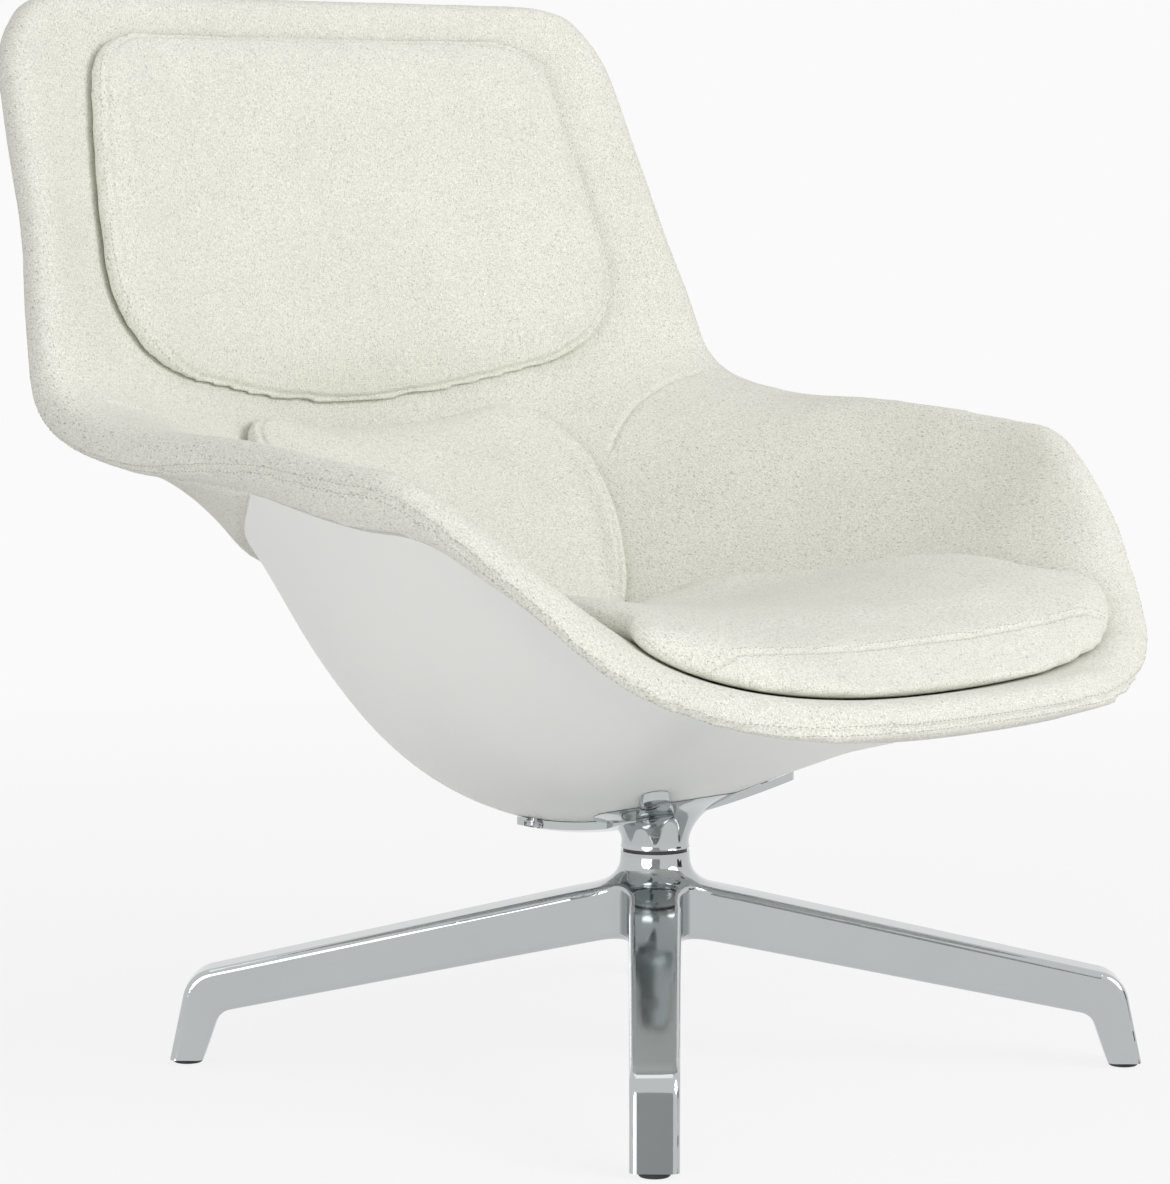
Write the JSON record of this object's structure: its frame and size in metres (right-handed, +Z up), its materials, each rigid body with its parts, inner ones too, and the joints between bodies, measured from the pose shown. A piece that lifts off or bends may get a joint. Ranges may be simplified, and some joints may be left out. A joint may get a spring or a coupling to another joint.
{
  "type": "swivel lounge chair",
  "caption": "Low lounge chair with an upholstered bucket seat and reclined back, loose cushions, a hard outer shell and a swivelling cast base.",
  "frame": {"origin": "on the floor, under the middle of the chair's outline; the swivel axis is at Y = -0.0493", "axes": "+Z up, the sitter faces -Y, +X is the sitter's left"},
  "size_m": [0.7226, 0.763, 0.8083],
  "materials": {
    "polished_metal": "polished",
    "bearing_plastic": "matte",
    "glide_plastic": "matte",
    "steel": "zinc plated",
    "brass": "plain",
    "shell_plastic": "satin",
    "frame_plastic": "moulded",
    "fabric": "flecked wool weave"
  },
  "bodies": {
    "base": {"base_casting": "polished_metal", "upper_bush": "bearing_plastic", "lower_bush": "bearing_plastic", "thrust_washer": "bearing_plastic", "hub_cap": "glide_plastic", "glide_front_left": "glide_plastic", "glide_front_right": "glide_plastic", "glide_rear_left": "glide_plastic", "glide_rear_right": "glide_plastic"},
    "seat": {"spindle": "steel", "retaining_washer": "steel", "circlip": "steel", "seat_column": "polished_metal", "column_screws": "steel", "column_washers": "steel", "shell_inserts": "brass", "outer_shell": "shell_plastic", "frame_shell": "frame_plastic", "bucket_upholstery": "fabric", "back_upholstery": "fabric", "back_cover": "fabric", "seat_cushion": "fabric", "lumbar_cushion": "fabric", "back_cushion": "fabric"}
  },
  "joints": [
    {"name": "seat_swivel", "type": "hinge", "parent": "base", "child": "seat", "pos_m": [0, -0.0493, 0.165], "axis": [0, 0, 1], "continuous": true}
  ]
}
